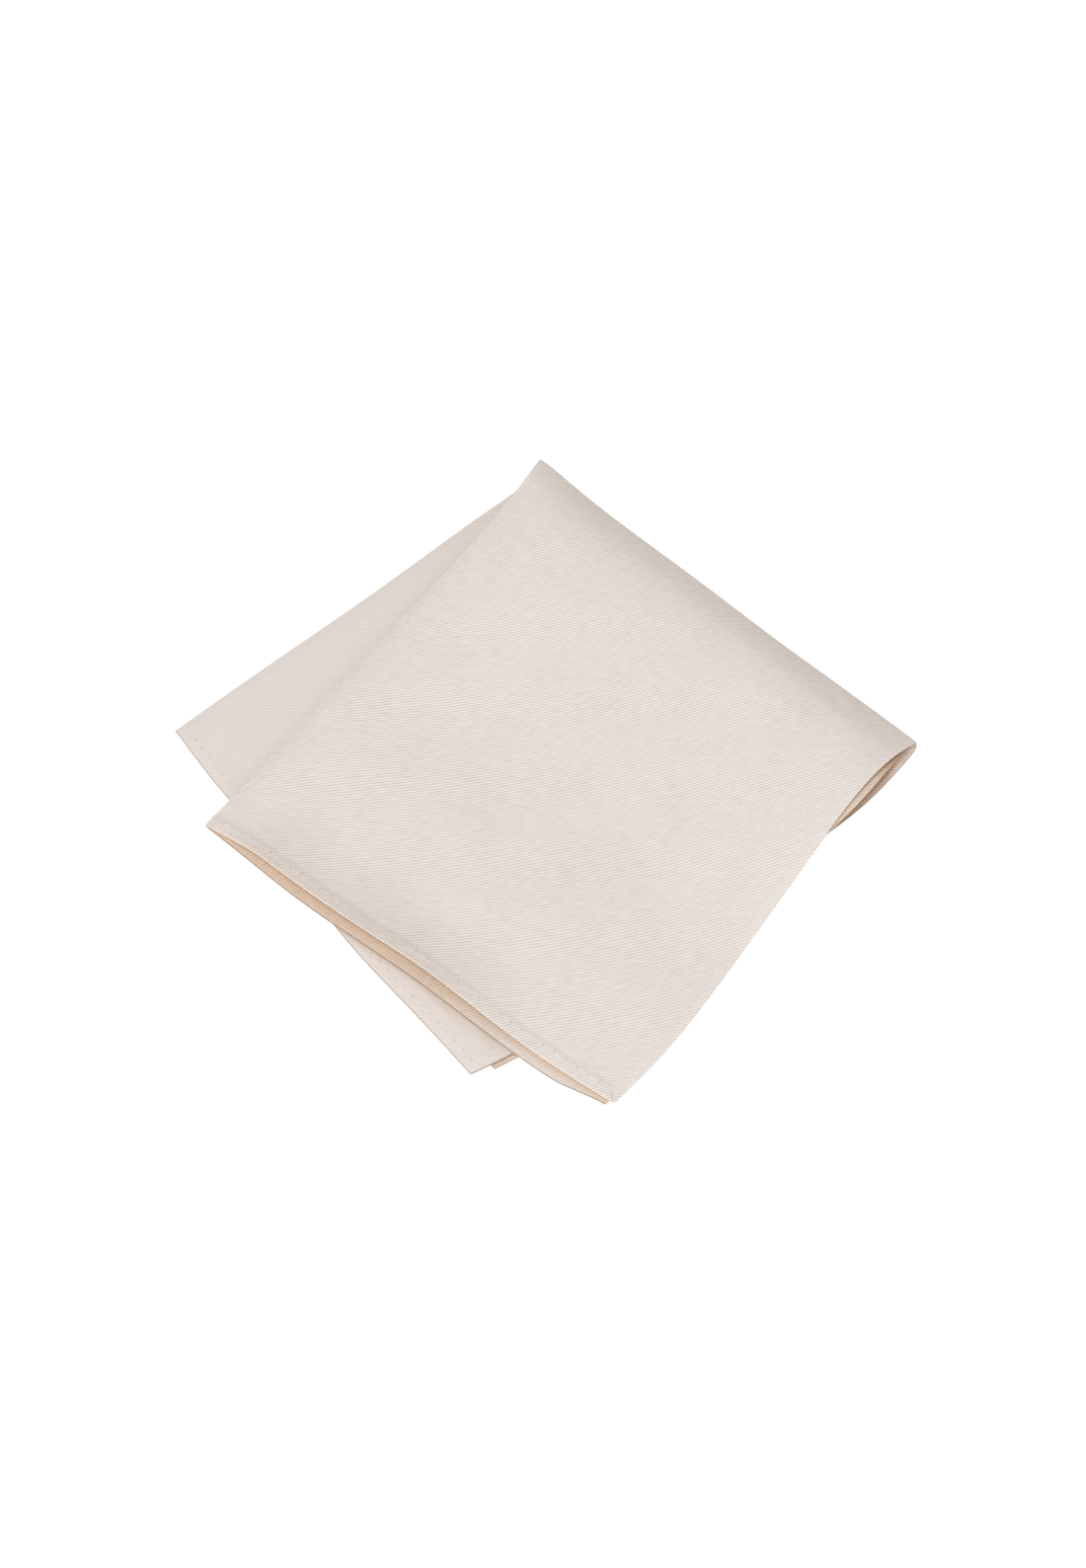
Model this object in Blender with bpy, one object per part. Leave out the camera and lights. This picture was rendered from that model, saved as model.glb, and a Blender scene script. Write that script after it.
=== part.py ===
"""Folded pocket square: one hemmed square of twill, folded twice and laid flat. Metres, +Z up.

The flat cloth has its own coordinates. 'across' runs across the second fold, with the top pair of
leaves on its negative side. 'along' runs across the first fold, with the outer leaves (top and
bottom) on its positive side. 'out' goes through the cloth, from its middle towards its face.

The first fold lays the back of the cloth on itself. The second turns that doubled strip over a line
that is a little askew, so the lower pair of leaves fans out from under the top pair.
The origin is the middle of the folded cloth's box, at the height that it rests on.
"""
import bpy
import bmesh
from math import cos, erf, exp, pi, radians, sin, sqrt, tan
from mathutils import Vector

MM = 0.001

# Driving dimensions
SQUARE = 320 * MM        # side of the finished square, hem to hem
SHEET = 1.0 * MM         # thickness of the cloth
HEM_WIDTH = 4.5 * MM     # width of the hem, which is turned to the back
HEM_EXTRA = 0.2 * MM     # thickness that the turned hem adds on the back
BACK_PITCH = 1.7 * MM    # middle to middle of two leaves whose backs meet
FACE_PITCH = 1.3 * MM    # middle to middle of two leaves whose faces meet
FOLD_OFFSET = 9.5 * MM   # the second fold misses the middle of the cloth by this at the tip
FOLD_SKEW = 6.7          # degrees that the second fold is off square to the first
LAY_ANGLE = 219.2        # degrees from +X of the lower pair's first fold, seen from above

HALF = SQUARE / 2
LEAF_RADIUS = BACK_PITCH / 2                   # radius of the first fold, to the cloth's middle
PAIR_RADIUS = (BACK_PITCH + FACE_PITCH) / 2    # half the height between the two pairs
REST_HEIGHT = SHEET / 2 + LEAF_RADIUS          # middle of the lower pair over the ground

# The rounded edge of the second fold, from the tip (0) to the right corner (1). The edge turns on
# 'radius', leaves it at 'rise' degrees to the ground and levels off over 'run'. Lengths in mm.
FOLD_EDGE = [
    # place, radius, rise, run
    (0.00, 1.5, 20.0, 6.0),
    (0.14, 1.5, 31.0, 7.6),
    (0.38, 1.5, 32.0, 7.0),
    (0.60, 1.6, 32.0, 5.2),
    (0.82, 1.8, 32.0, 7.2),
    (1.00, 1.9, 26.0, 8.0),
]
LEVEL_START = 10 * MM    # the top pair comes down to its even height from here
LEVEL_END = 95 * MM      # to here, in from the edge of the second fold

# How far each corner lies off the even fold, in mm along X and Y.
STRAYS = {
    "tip": (1.6, 3.7),
    "right, outer leaves": (3.6, 4.9),
    "right, inner leaves": (-1.3, 2.0),
    "left, top pair": (0.7, -0.6),
    "left, lower pair": (2.9, -5.1),
    "front, top": (-1.8, 1.1),
    "front, second": (-4.4, 1.3),
    "front, third": (-4.1, -1.0),
    "front, bottom": (3.0, 1.4),
}

# How far each edge bulges out of the line between its corners, in mm: one arch over its length,
# an S of two arches, a ripple of three and a flutter of four. A fold's edge starts at the tip, a
# hem at its fold.
BOWS = {
    # edge: (arch, s_curve, ripple, flutter)
    "first fold, top pair": (-2.6, -1.0, -0.7, 0.0),
    "first fold, lower pair": (-2.1, -0.5, 0.1, 0.0),
    "second fold, outer leaves": (-0.9, -0.4, -0.3, -0.2),
    "second fold, inner leaves": (0.0, 0.0, 0.0, 0.0),
    "left hem, top": (0.7, -0.6, 0.6, -0.3),
    "left hem, second": (3.2, -0.4, 1.2, -0.2),
    "left hem, third": (1.7, -0.1, 0.2, 0.4),
    "left hem, bottom": (0.0, 0.0, 0.0, 0.0),
    "right hem, top": (-0.5, -2.0, 0.0, -0.4),
    "right hem, second": (0.6, -1.2, 1.5, 0.9),
    "right hem, third": (5.5, 0.4, 1.8, -0.3),
    "right hem, bottom": (4.6, -0.4, 2.1, 0.4),
}
# Beside the tip the first folds draw in by this much, in mm, most at PINCH_SPOT of their length.
TIP_PINCH = {
    "first fold, top pair": 0.7,
    "first fold, lower pair": 2.5,
}
PINCH_SPOT = 0.07

# The top leaf's left hem and its right corner stand off the leaf under it, and the top pair
# settles to the ground where it reaches past the lower pair.
HEM_LIFT = 2.0 * MM
LIFT_REACH = 0.14        # share of the leaf, in from the hem, that the lift takes
LIFT_GROWS = 0.25        # share of the hem, from the first fold, over which the lift grows
LIFT_ENDS = 0.30         # share of the hem before the front corner over which it goes down again
CORNER_LIFT = 0.9 * MM   # the top leaf stands this much further off at the right corner
CORNER_START = 0.50      # share of the way from the first fold where that starts
CORNER_REACH = 0.67      # share of the leaf, in from the second fold, that it takes
SETTLE_START = 8 * MM    # past the lower pair's hems
SETTLE_RUN = 18 * MM

# Cut lines of the mesh, as counts of strips
STRIPS_ALONG = 15        # from the first fold to the right hem
STRIPS_ACROSS = 17       # from the second fold to the left hem
FIRST_FOLD_STRIPS = 6    # round each half of the first fold
SECOND_FOLD_STRIPS = 5   # round each half of the second fold
FOLD_MARGIN = 1.25       # the second fold's own lines end this much past its quarter turn
STRIP_GROWTH = 1.3       # power by which the strips widen from the second fold to the hem
HEM_STEP = 0.4 * MM      # strip before the hem, over which its extra thickness begins
ON_LINE = 0.01 * MM      # a point this near the hem's inner line is on it
SHARP_ANGLE = 40         # degrees between two faces from which their edge is shaded sharp

CLOTH_COLOUR = (0.76, 0.70, 0.65, 1.0)
CLOTH_ROUGHNESS = 0.6

SKEW = -tan(radians(FOLD_SKEW))
LOWER_FIRST = Vector((cos(radians(LAY_ANGLE)), sin(radians(LAY_ANGLE))))  # lower pair's first fold
LOWER_SIDE = Vector((-LOWER_FIRST.y, LOWER_FIRST.x))                      # from there to its right hem
FOLD_LINE = (LOWER_SIDE + SKEW * LOWER_FIRST).normalized()                # second fold, from the tip
INWARD = (LOWER_FIRST - SKEW * LOWER_SIDE).normalized()                   # from it over the leaves
TIP = FOLD_OFFSET * LOWER_FIRST                                           # from the cloth's middle


def clamped(x, low, high):
    return min(max(x, low), high)


def eased(x):
    """From 0 to 1 with level ends."""
    x = clamped(x, 0.0, 1.0)
    return x * x * (3 - 2 * x)


def turned_over(direction):
    """A direction of the lower pair as the second fold turns it over to the top pair."""
    return direction - 2 * direction.dot(INWARD) * INWARD


def bow(edge, share):
    """How far the edge bulges out at this share of its length."""
    bend = sum(size * sin((arches + 1) * pi * share) for arches, size in enumerate(BOWS[edge]))
    if edge in TIP_PINCH:
        near = share / PINCH_SPOT
        bend -= TIP_PINCH[edge] * near * exp(1 - near)
    return bend * MM


def fold_edge(place):
    """Radius, rise in radians and run of the second fold's rounded edge."""
    for before, after in zip(FOLD_EDGE, FOLD_EDGE[1:]):
        if place <= after[0]:
            break
    mix = eased((place - before[0]) / (after[0] - before[0]))
    radius, rise, run = (a + (b - a) * mix for a, b in zip(before[1:], after[1:]))
    return radius * MM, radians(rise), run * MM


def first_fold(along, out):
    """Roll the cloth round the first fold: distance in from the fold, and height off the pair's
    middle towards its outer leaf."""
    turn = clamped(along / LEAF_RADIUS, -pi / 2, pi / 2)
    radius = LEAF_RADIUS + out
    straight = max(abs(along) - LEAF_RADIUS * pi / 2, 0.0)
    return straight - radius * cos(turn), radius * sin(turn)


def second_fold(past, height, place):
    """Turn the strip over the second fold. 'past' is the distance past the fold line, positive on
    the lower pair. Gives the distance in from the fold and the height over the ground."""
    radius, rise, run = fold_edge(place)
    lower_end = radius * pi / 2
    upper_end = -radius * (pi / 2 - rise)
    if past > lower_end:
        return past - lower_end, REST_HEIGHT - height
    if past >= upper_end:
        turn = pi / 2 - past / radius
        return -(radius + height) * sin(turn), REST_HEIGHT + radius - (radius + height) * cos(turn)
    length = upper_end - past
    start = -radius * sin(rise)
    spread = run * sqrt(pi) / 2
    lost = (1 - cos(rise)) * spread / sqrt(2) * erf(sqrt(2) * length / run)
    inward = start + length - lost
    on = (inward - start) / run
    slope = tan(rise) * exp(-on * on)
    crown = radius * (1 + cos(rise)) + spread * tan(rise)
    level = eased((inward - LEVEL_START) / (LEVEL_END - LEVEL_START))
    middle = crown - spread * tan(rise) * (1 - erf(on)) - (crown - 2 * PAIR_RADIUS) * level
    tilt = sqrt(1 + slope * slope)
    return inward - height * slope / tilt, REST_HEIGHT + middle + height / tilt


def leaf_at(across, along):
    """The leaf that a point of the cloth is on, with the names of its corners and edges."""
    lower = across > FOLD_OFFSET + SKEW * abs(along)
    outer = along >= 0
    leaf = {(False, True): "top", (False, False): "second",
            (True, False): "third", (True, True): "bottom"}[lower, outer]
    pair = "lower pair" if lower else "top pair"
    side = "outer leaves" if outer else "inner leaves"
    return lower, leaf, pair, side


def unevenness(across, along, from_second, from_first):
    """How far the cloth lies off the even fold, level with the ground."""
    lower, leaf, pair, side = leaf_at(across, along)
    corners = (
        ("tip", (1 - from_second) * (1 - from_first)),
        (f"right, {side}", (1 - from_second) * from_first),
        (f"left, {pair}", from_second * (1 - from_first)),
        (f"front, {leaf}", from_second * from_first),
    )
    off = Vector((0.0, 0.0))
    for corner, share in corners:
        off += Vector(STRAYS[corner]) * share * MM
    to_left = LOWER_FIRST if lower else turned_over(-LOWER_FIRST)
    to_right = LOWER_SIDE if lower else turned_over(LOWER_SIDE)
    off -= to_right * bow(f"first fold, {pair}", from_second) * (1 - from_first)
    off -= INWARD * bow(f"second fold, {side}", from_first) * (1 - from_second)
    off += to_left * bow(f"left hem, {leaf}", from_first) * from_second
    off += to_right * bow(f"right hem, {leaf}", from_second) * from_first
    return off


def folded(across, along, out):
    """Where a point of the flat cloth lies once it is folded."""
    fold_line = FOLD_OFFSET + SKEW * abs(along)
    inward, height = first_fold(along, out)
    scale = sqrt(1 + SKEW * SKEW)
    past = (across - FOLD_OFFSET - SKEW * inward) / scale
    down_fold = (SKEW * (across - FOLD_OFFSET) + inward) / scale
    from_first = clamped(abs(along) / HALF, 0.0, 1.0)
    lower, leaf, _, _ = leaf_at(across, along)
    leaf_length = HALF - fold_line if lower else HALF + fold_line
    from_second = clamped(abs(across - fold_line) / leaf_length, 0.0, 1.0)
    in_from_fold, z = second_fold(past, height, from_first)
    spot = TIP + FOLD_LINE * down_fold + INWARD * in_from_fold
    if not lower:
        overhang = max(spot.dot(LOWER_FIRST), spot.dot(LOWER_SIDE)) - HALF
        z -= 2 * PAIR_RADIUS * eased((overhang - SETTLE_START) / SETTLE_RUN)
    if leaf == "top":
        ends = min(eased(from_first / LIFT_GROWS), eased((1 - from_first) / LIFT_ENDS))
        z += HEM_LIFT * ends * eased(1 - (1 - from_second) / LIFT_REACH)
        to_corner = eased((from_first - CORNER_START) / (1 - CORNER_START))
        z += CORNER_LIFT * to_corner * (1 - eased(from_second / CORNER_REACH))
    spot += unevenness(across, along, from_second, from_first)
    return Vector((spot.x, spot.y, z))


def spaced(start, end, strips):
    return [start + (end - start) * i / strips for i in range(strips + 1)]


def cut_lines_along():
    """Distances from the first fold of the mesh's lines, from the inner hem to the outer one."""
    arc = LEAF_RADIUS * pi / 2
    hem = HALF - HEM_WIDTH
    side = spaced(arc, hem - HEM_STEP, STRIPS_ALONG) + [hem, HALF]
    around = spaced(-arc, arc, FIRST_FOLD_STRIPS * 2)[1:-1]
    return [-d for d in reversed(side)] + around + side


def cut_lines_across():
    """The mesh's lines across the second fold, each as a distance past the fold and a share of the
    way on from there to the hem, whose last step is the hem's width."""
    near = FOLD_MARGIN * pi / 2 * FOLD_EDGE[-1][1] * MM
    shares = [(i / STRIPS_ACROSS) ** STRIP_GROWTH for i in range(1, STRIPS_ACROSS + 1)]
    top = [(-near, -s) for s in reversed(shares)]
    around = [(d, 0.0) for d in spaced(-near, near, SECOND_FOLD_STRIPS * 2)]
    lower = [(near, s) for s in shares]
    return top + around + lower


def across_at(line, along):
    """Where a cut line across the second fold stands, at this distance along."""
    near, share = line
    fold_line = FOLD_OFFSET + SKEW * abs(along)
    room = HALF - HEM_WIDTH - abs(near)
    return fold_line + near + share * (room - fold_line if share > 0 else room + fold_line)


def rim_of(rows):
    """The outermost vertices of a sheet, in order."""
    right = [row[-1] for row in rows[1:]]
    left = [row[0] for row in rows[1:-1]]
    return rows[0] + right + rows[-1][-2::-1] + left[::-1]


def build_cloth():
    alongs = cut_lines_along()
    acrosses = cut_lines_across()
    bm = bmesh.new()
    sheets = {}
    for face_side in (True, False):
        rows = []
        for along in alongs:
            stations = [-HALF] + [across_at(line, along) for line in acrosses] + [HALF]
            row = []
            for across in stations:
                to_hem = HALF - max(abs(across), abs(along))
                back = SHEET / 2 + (HEM_EXTRA if to_hem < HEM_WIDTH + ON_LINE else 0.0)
                row.append(bm.verts.new(folded(across, along, SHEET / 2 if face_side else -back)))
            rows.append(row)
        sheets[face_side] = rows
    for face_side, rows in sheets.items():
        for row, next_row in zip(rows, rows[1:]):
            for i in range(len(row) - 1):
                corners = [row[i], row[i + 1], next_row[i + 1], next_row[i]]
                bm.faces.new(corners if face_side else reversed(corners))
    face_rim, back_rim = (rim_of(sheets[side]) for side in (True, False))
    for i in range(len(face_rim)):
        bm.faces.new((face_rim[i - 1], face_rim[i], back_rim[i], back_rim[i - 1]))
    bmesh.ops.recalc_face_normals(bm, faces=bm.faces)
    return bm


def centre_over_origin(bm):
    """Put the origin at the middle of the cloth's box, at the height it rests on."""
    low = [min(vert.co[axis] for vert in bm.verts) for axis in range(3)]
    high = [max(vert.co[axis] for vert in bm.verts) for axis in range(3)]
    middle = Vector(((low[0] + high[0]) / 2, (low[1] + high[1]) / 2, low[2]))
    bmesh.ops.translate(bm, vec=-middle, verts=bm.verts)


def cloth_material():
    material = bpy.data.materials.new("ivory_twill")
    material.use_nodes = True
    shader = material.node_tree.nodes["Principled BSDF"]
    shader.inputs["Base Color"].default_value = CLOTH_COLOUR
    shader.inputs["Roughness"].default_value = CLOTH_ROUGHNESS
    shader.inputs["Metallic"].default_value = 0.0
    return material


def main():
    for old in list(bpy.data.objects):
        bpy.data.objects.remove(old, do_unlink=True)
    bm = build_cloth()
    centre_over_origin(bm)
    mesh = bpy.data.meshes.new("pocket_square")
    bm.to_mesh(mesh)
    bm.free()
    mesh.materials.append(cloth_material())
    mesh.shade_smooth()
    mesh.set_sharp_from_angle(angle=radians(SHARP_ANGLE))
    cloth = bpy.data.objects.new("pocket_square", mesh)
    bpy.context.scene.collection.objects.link(cloth)


main()
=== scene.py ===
from math import cos, erf, exp, floor, pi, radians, sin, sqrt, tan, tanh

import bpy
import numpy
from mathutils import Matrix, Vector


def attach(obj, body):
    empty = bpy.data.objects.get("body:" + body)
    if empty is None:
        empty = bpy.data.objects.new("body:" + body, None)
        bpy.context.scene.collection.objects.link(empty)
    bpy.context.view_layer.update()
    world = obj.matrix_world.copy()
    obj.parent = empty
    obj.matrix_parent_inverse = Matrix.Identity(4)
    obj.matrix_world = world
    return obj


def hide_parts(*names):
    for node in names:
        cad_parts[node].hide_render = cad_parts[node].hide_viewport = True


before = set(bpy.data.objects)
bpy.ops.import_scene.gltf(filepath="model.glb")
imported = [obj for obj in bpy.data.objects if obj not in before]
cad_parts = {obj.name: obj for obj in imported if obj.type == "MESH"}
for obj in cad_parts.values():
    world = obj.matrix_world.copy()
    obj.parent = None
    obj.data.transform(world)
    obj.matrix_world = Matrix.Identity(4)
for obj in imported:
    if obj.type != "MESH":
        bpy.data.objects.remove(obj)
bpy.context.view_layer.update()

# A folded pocket square: one hemmed square of ivory twill, folded twice and laid flat. The thin
# cloth here lies on the folds of the solid. The flat cloth has its own coordinates: 'across' runs
# across the second fold, with the top pair of leaves on its negative side; 'along' runs across the
# first fold, with the outer leaves on its positive side; 'out' goes through it towards its face.

MM = 0.001

# The solid's own sizes
SQUARE = 320 * MM          # side of the finished square, hem to hem
SOLID_SHEET = 1.0 * MM     # thickness of the cloth in the solid
HEM_WIDTH = 4.5 * MM       # width of the hem, which is turned to the back
BACK_PITCH = 1.7 * MM      # middle to middle of two leaves whose backs meet
FACE_PITCH = 1.3 * MM      # middle to middle of two leaves whose faces meet
FOLD_OFFSET = 9.5 * MM     # the second fold misses the middle of the cloth by this at the tip
FOLD_SKEW = 6.7            # degrees that the second fold is off square to the first
LAY_ANGLE = 219.2          # degrees from +X of the lower pair's first fold, seen from above

HALF = SQUARE / 2
SOLID_MIDDLE = Vector((-3.57 * MM, -116.89 * MM, 0.23 * MM))    # of its box as it is folded here
LEAF_RADIUS = BACK_PITCH / 2                   # radius of the first fold in the solid
PAIR_RADIUS = (BACK_PITCH + FACE_PITCH) / 2    # half the height between the two pairs
REST_HEIGHT = SOLID_SHEET / 2 + LEAF_RADIUS    # middle of the lower pair over the ground

# The second fold's rounded edge, from the tip (place 0) to the right corner (place 1).
FOLD_EDGE = [
    # place, radius in mm, rise in degrees, run in mm
    (0.00, 1.5, 23.0, 8.0),
    (0.14, 1.5, 31.0, 9.8),
    (0.38, 1.5, 31.0, 9.5),
    (0.60, 1.6, 31.0, 8.5),
    (0.82, 1.8, 31.0, 9.8),
    (1.00, 1.9, 28.0, 13.0),
]
LEVEL_START = 10 * MM      # the top pair comes down to its even height from here
LEVEL_END = 95 * MM        # to here, in from the edge of the second fold
LIE_DOWN_RUN = 6 * MM      # the pressed first folds lie down on what is under them over this length

# How far each corner lies off the even fold, in mm along X and Y.
STRAYS = {
    "tip": (1.6, 3.7),
    "right, outer leaves": (3.6, 4.9),
    "right, inner leaves": (-1.3, 2.0),
    "left, top pair": (0.5, -0.85),
    "left, lower pair": (2.9, -5.1),
    "front, top": (-1.8, 1.1),
    "front, second": (-5.6, -0.3),
    "front, third": (-4.1, -1.0),
    "front, bottom": (3.0, 1.4),
}

# How far each edge bulges out of the line between its corners, in mm.
BOWS = {
    # edge: (arch, s_curve, ripple, flutter)
    "first fold, top pair": (-2.2, -1.0, -0.7, 0.0),
    "first fold, lower pair": (-2.1, -0.5, 0.1, 0.0),
    "second fold, outer leaves": (-0.9, -0.4, -0.3, -0.2),
    "second fold, inner leaves": (0.0, 0.0, 0.0, 0.0),
    "left hem, top": (1.2, 0.0, 0.55, -0.3),
    "left hem, second": (2.2, 0.2, 0.9, -0.2),
    "left hem, third": (1.7, -0.1, 0.2, 0.4),
    "left hem, bottom": (0.0, 0.0, 0.0, 0.0),
    "right hem, top": (-0.5, -2.0, 0.0, -0.4),
    "right hem, second": (0.6, -1.2, 1.5, 0.9),
    "right hem, third": (5.5, 0.4, 1.8, -0.3),
    "right hem, bottom": (4.6, -0.4, 2.1, 0.4),
}
TIP_PINCH = {
    # what the first folds draw in beside the tip, in mm
    "first fold, top pair": 0.7,
    "first fold, lower pair": 2.5,
}

# What a left hem draws in at the front corner, in mm, and over which share of the hem.
CORNER_TUCK = {"second": 2.0}
TUCK_SHARE = 0.12

# How the top pair stands off what is under it
HEM_LIFT = 3.8 * MM        # of the top leaf's left hem
LIFT_REACH = 0.15          # share of the leaf, in from the hem, that the lift takes
LIFT_POWER = 2.2           # it grows with this power towards the hem
LIFT_GROWS = 0.16          # share of the hem, from the first fold, over which the lift grows
LIFT_STARTS_DOWN = 0.50    # and where along the hem it starts down again
LIFT_ENDS = 0.82           # to nothing here
CORNER_LIFT = 0.9 * MM     # the top leaf stands this much further off at the right corner
CORNER_LIFT_START = 0.5    # from this share of the way out from the first fold
CORNER_LIFT_END = 2 / 3    # and up to this share of the way from the second fold to the left hem
SETTLE_START = 3 * MM      # the top pair settles past the lower pair's hems
SETTLE_RUN = 42 * MM
SETTLE_DROP = 1.6 * MM     # a crisp hem stays a little off the ground

# What only the thin cloth has: its hem
SHEET = 0.3 * MM           # thickness of the twill
HEM_BACK = 0.35 * MM       # what the turned hem stands proud on the back
HEM_FACE = 0.06 * MM       # and what it lifts the face
HEM_STEP = 1 * MM          # the face rises to the hem over this length
FLAP_STEP = 0.25 * MM      # and the back over this one
HEM_RIDGE = 0.10 * MM      # the face is this much higher along the hem's inner side
RIDGE_PLACE = 0.5 * MM     # and this far past it
RIDGE_WIDTH = 0.5 * MM
STITCH_GROOVE = 0.03 * MM  # what the stitches draw the face in
GROOVE_PLACE = -1 * MM     # on this side of the hem's inner side
GROOVE_WIDTH = 0.45 * MM
PRESSED_HEM = 0.25         # how much of the face's relief shows on the lower pair's left hems
RIGHT_HEM = 0.6            # and on the right hems
FOLD_ROOM = 0.4            # little of the turned hem's thickness fits inside the first fold
FOLD_ROOM_RUN = 4 * MM     # and soon more of it on both sides of there

# Its folds
PINCH_RADIUS = 0.38 * MM   # of the pressed first fold
PINCH_RUN = 3.0 * MM       # its leaves part over this length
EDGE_DROP = 0.95 * MM      # the top pair's first fold lies down on the leaf under it
EDGE_RUN = 5.5 * MM        # over this length
EDGE_DROP_START = 3 * MM   # from this far in from the second fold
EDGE_DROP_GROWS = 12 * MM  # and fully this much further
PINCH_SPOT = 0.07          # share of the way from the tip where the first folds draw in most
TOP_PUFF = 0.8 * MM        # air under the top leaf
PUFF_AT_RIGHT = 1 / 3      # it thins out over this share of the leaf towards the right hem
PUFF_AT_LEFT = 1 / 4       # over this one towards the left hem
PUFF_AT_FOLD = 20 * MM     # and over this length towards the second fold
CREASE_PLACE = 8 * MM      # an older crease, in from the second fold
CREASE_WIDTH = 1.6 * MM
CREASE_HEIGHT = 0.12 * MM
CREASE_START = 0.2         # share of the second fold, from the tip, where the crease starts
CREASE_GROWS = 0.25        # and over which it grows

# The light between its leaves, painted as shade into the cloth's colour
EDGE_STEPS = 40            # steps along an edge, to find how far in under a leaf a point is
EDGE_BLEND = 5             # steps over which one edge's count passes into the next one's
OFF_FOLD = 0.01 * MM       # a place this far from the first fold is on its own leaf's side of it
LEAST_GAP = 0.3 * MM       # least height of the gap that light comes through
# Painted warm light: the top leaf's colour deepens a little near its lifted left hem
PAINTED_HEM_GLOW = 0.035           # the lifted hem lets warm light through from the gap under it
PAINTED_HEM_GLOW_REACH = 2.4 * MM
LEAST_PAINTED_GLOW = 0.4           # share of this glow where the hem isn't lifted
FOLD_SHADE = 0.2           # a pressed fold's shade on the leaf under it, beside a hem's
FOLD_SWELL = 1.5 * MM      # and it reaches as far as if the fold stood this much higher
CHUNK = 4000               # points worked on at a time

# The flat map for baking
BAKE_ROUND = 0.5 * MM      # room for each round of the rim
BAKE_MARGIN = 3.6 * MM     # and round it all

# Weave
TWILL_PITCH = 0.95 * MM    # from one diagonal line to the next
DRIFT = 0.9 * MM           # how far the lines wander
RIB_ROUNDNESS = 0.5        # powers that round off the lines
FLOAT_ROUNDNESS = 0.7      # and the threads
WARP_RELIEF = 0.06         # share of the height that the threads take along a line
WEFT_RELIEF = 0.1          # and in the groove beside it
TWILL_DEPTH = 0.12 * MM    # from the top of a line to its groove
TWILL_BUMP = 0.7
BACK_THREAD = 0.34 * MM    # width of a thread on the smooth side
FINE_DEPTH = 0.05 * MM     # relief of the smooth side's threads and of the sewing thread's plies
FINE_BUMP = 0.5
PLY_LENGTH = 0.3 * MM      # of the sewing thread, from one ply to the next
PLY_SLANT = 0.7

# Tones, from 0 for the dark colour to 1 for the light one
# Painted shade: by this share of the tone the weave's grooves are darker
WEAVE_SHADE_TONE = 0.6           # share of the weave in the tone
YARN_TONE = 0.25           # share of the yarns' unevenness
STREAKS = 1.6              # of which this much comes along the lines
SLUBS = 0.4                # and this much along single threads
CLOUD_TONE = 0.15          # share of the slow change over the cloth
MEAN_TONE = 0.68           # of the weave's lines and grooves together
BACK_CLOUD = 0.4           # share of the slow change in the tone of the smooth side
TWILL_RANGE = (0.1, 0.9)   # the tones between which the twill's colour goes from dark to light
BACK_RANGE = (0.1, 0.8)    # and the smooth side's
WHOLE_RANGE = (0.0, 1.0)   # and the sewing thread's and the floor's

NOISES = {
    # what it varies: scale on each of two coordinates, layer, detail
    "line drift": (60.0, 25.0, 0.0, 2.0),
    "streaks": (1 / TWILL_PITCH, 1 / (4 * MM), 3.0, 2.0),
    "slubs": (0.6, 0.02, 7.0, 2.0),
    "cloud": (45.0, 45.0, 11.0, 3.0),
    "back cloud": (90.0, 90.0, 5.0, 3.0),
    "floor cloud": (3.0, 3.0, 0.0, 2.0),
}

# Colours, light and dark
FACE_COLOURS = ((1.0, 0.922, 0.857), (0.50, 0.450, 0.407))
# The back's warm tan is partly its own colour and partly painted warm shade of the gaps between the leaves,
# where it shows
BACK_WARM_SHADE_COLOURS = ((0.92, 0.70, 0.48), (0.82, 0.60, 0.38))
# Painted shade: the rims under other leaves take these darker colours
SHADED_RIM_COLOURS = ((0.54, 0.46, 0.39), (0.36, 0.31, 0.26))    # of the rims that the leaves over them shade
# Darker than the cloth: painted shade of the stitches sunk in their holes
SEWING_SHADE_COLOURS = ((0.60, 0.52, 0.45), (0.46, 0.40, 0.34))
FLOOR_COLOURS = ((0.47, 0.47, 0.47), (0.43, 0.43, 0.43))
# Painted shade in the gaps between the leaves: the colour that a closed gap multiplies the cloth's colour
# by
GAP_SHADE_COLOUR = (0.76, 0.55, 0.35)    # what a closed gap makes of white
GAP_SHADE_SPREAD = 0.55          # how soon the colour deepens as a gap closes
THROUGH = 0.12             # share of the light that goes on through a side of the cloth
THROUGH_COLOUR = (1.0, 0.80, 0.58)

# Roughness where the relief is low and where it is high
TWILL_ROUGHNESS = (0.86, 0.62)
SEWING_ROUGHNESS = (0.7, 0.5)
BACK_ROUGHNESS = (0.7, 0.85)    # here where the slow change is low and where it is high

# What is the same all over a surface
TWILL_FINISH = {"Specular IOR Level": 0.3, "Sheen Weight": 0.12, "Sheen Roughness": 0.4}
BACK_FINISH = {"Specular IOR Level": 0.25}
FLOOR_FINISH = {
    "Roughness": 0.9,
    "Specular IOR Level": 0.1,
    "Emission Color": (1.0, 1.0, 1.0, 1.0),
    "Emission Strength": 0.8,
}

# Light, in metres and watts
SKY_COLOUR = (1.0, 0.73, 0.46)
SKY_LIGHT = 0.28
HORIZON_GLOW = 0.8         # low light from the left
GLOW_FROM = (-0.8, -0.6)   # its direction along X and Y
GLOW_POWER = 3.0           # how closely it keeps to the horizon
KEY_PLACE = (-0.86, -1.85, 4.57)
KEY_SIZE = 2.5
KEY_POWER = 219.5
KEY_COLOUR = (0.862, 1.0, 1.14)
FLOOR_HALF = 12.0          # half the side of the floor

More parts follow.
